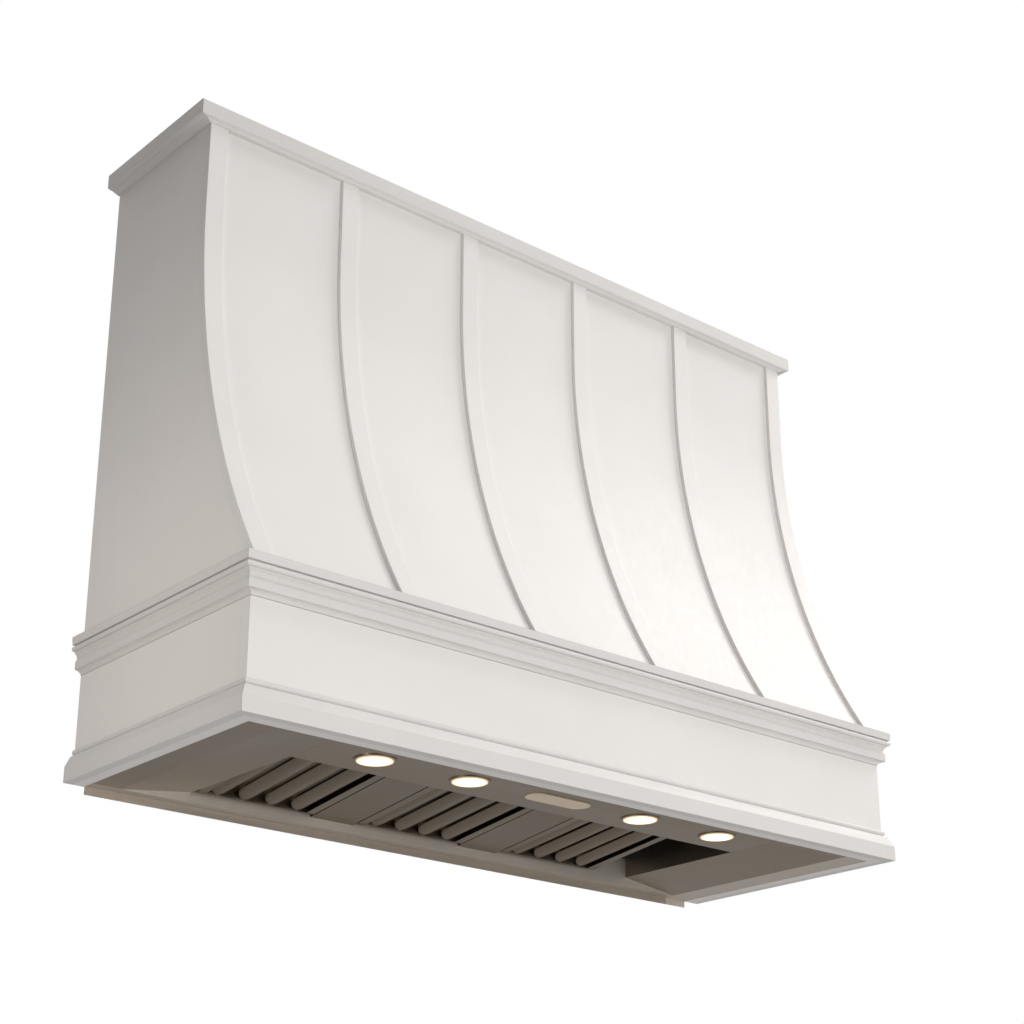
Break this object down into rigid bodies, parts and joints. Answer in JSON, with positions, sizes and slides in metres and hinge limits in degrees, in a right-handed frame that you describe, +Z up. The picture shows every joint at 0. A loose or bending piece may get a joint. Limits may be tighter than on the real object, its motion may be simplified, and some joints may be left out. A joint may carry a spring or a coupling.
{
  "type": "range hood cover",
  "caption": "Painted wooden range hood cover with a swept front, battens, crown and mantel mouldings, holding a stainless insert with lamps, hinged baffle filters and a blower.",
  "frame": {"origin": "centre of the back at the underside of the wood, on the wall plane (on the insert's back lip)", "axes": "+Z up, +Y towards the wall, -Y to the front, +X to the right seen from the front"},
  "size_m": [1.262, 0.448, 0.981],
  "materials": {
    "painted_wood": "satin warm-white paint",
    "carcass_wood": "bare plywood and softwood",
    "stainless": "brushed",
    "zinc_sheet": "zinc-coated sheet",
    "frosted_lens": "frosted, lit",
    "control_face": "plain, gloss",
    "black_plastic": "moulded",
    "dark_metal": "painted",
    "screw_steel": "plated"
  },
  "bodies": {
    "cover": {"left_side_panel": "painted_wood", "right_side_panel": "painted_wood", "front_skin": "painted_wood", "front_rib_1": "carcass_wood", "front_rib_2": "carcass_wood", "front_rib_3": "carcass_wood", "front_rib_4": "carcass_wood", "strap_1": "painted_wood", "strap_2": "painted_wood", "strap_3": "painted_wood", "strap_4": "painted_wood", "strap_5": "painted_wood", "strap_6": "painted_wood", "crown_front": "painted_wood", "crown_left": "painted_wood", "crown_right": "painted_wood", "mantel_front": "painted_wood", "mantel_left": "painted_wood", "mantel_right": "painted_wood", "apron_front": "painted_wood", "base_front": "painted_wood", "base_left": "painted_wood", "base_right": "painted_wood", "top_board": "carcass_wood", "hanging_rail": "carcass_wood", "lower_back_rail": "carcass_wood", "apron_rail": "carcass_wood", "cleat_left": "carcass_wood", "cleat_right": "carcass_wood", "liner_frame": "stainless", "lamp_panel": "stainless", "plenum_box": "zinc_sheet", "lamp_housings": "stainless", "lamp_lenses": "frosted_lens", "control_plate": "control_face", "control_box": "black_plastic", "blank_panels": "stainless", "end_filler": "stainless", "filter_brackets": "stainless", "filter_magnets": "dark_metal", "duct_collar": "zinc_sheet", "damper_rod": "screw_steel", "blower_wrap": "zinc_sheet", "blower_side_left": "zinc_sheet", "blower_side_right": "zinc_sheet", "blower_motor": "dark_metal", "junction_box": "black_plastic"},
    "filter_1": {"filter_frame_1": "stainless", "filter_baffles_1": "stainless"},
    "filter_2": {"filter_frame_2": "stainless", "filter_baffles_2": "stainless"},
    "filter_3": {"filter_frame_3": "stainless", "filter_baffles_3": "stainless"},
    "blower_wheel": {"impeller": "black_plastic"},
    "front_flap": {"damper_flap_front": "zinc_sheet"},
    "back_flap": {"damper_flap_back": "zinc_sheet"}
  },
  "joints": [
    {"name": "filter_1_hinge", "type": "hinge", "parent": "cover", "child": "filter_1", "pos_m": [-0.326, -0.036, 0.028], "axis": [1, 0, 0], "range_deg": [0, 35]},
    {"name": "filter_2_hinge", "type": "hinge", "parent": "cover", "child": "filter_2", "pos_m": [-0.041, -0.036, 0.028], "axis": [1, 0, 0], "range_deg": [0, 35]},
    {"name": "filter_3_hinge", "type": "hinge", "parent": "cover", "child": "filter_3", "pos_m": [0.244, -0.036, 0.028], "axis": [1, 0, 0], "range_deg": [0, 35]},
    {"name": "wheel_spin", "type": "hinge", "parent": "cover", "child": "blower_wheel", "pos_m": [0, -0.174, 0.1595], "axis": [1, 0, 0], "continuous": true},
    {"name": "front_flap_hinge", "type": "hinge", "parent": "cover", "child": "front_flap", "pos_m": [0, -0.134, 0.27], "axis": [-1, 0, 0], "range_deg": [0, 80]},
    {"name": "back_flap_hinge", "type": "hinge", "parent": "cover", "child": "back_flap", "pos_m": [0, -0.134, 0.27], "axis": [1, 0, 0], "range_deg": [0, 80]}
  ]
}
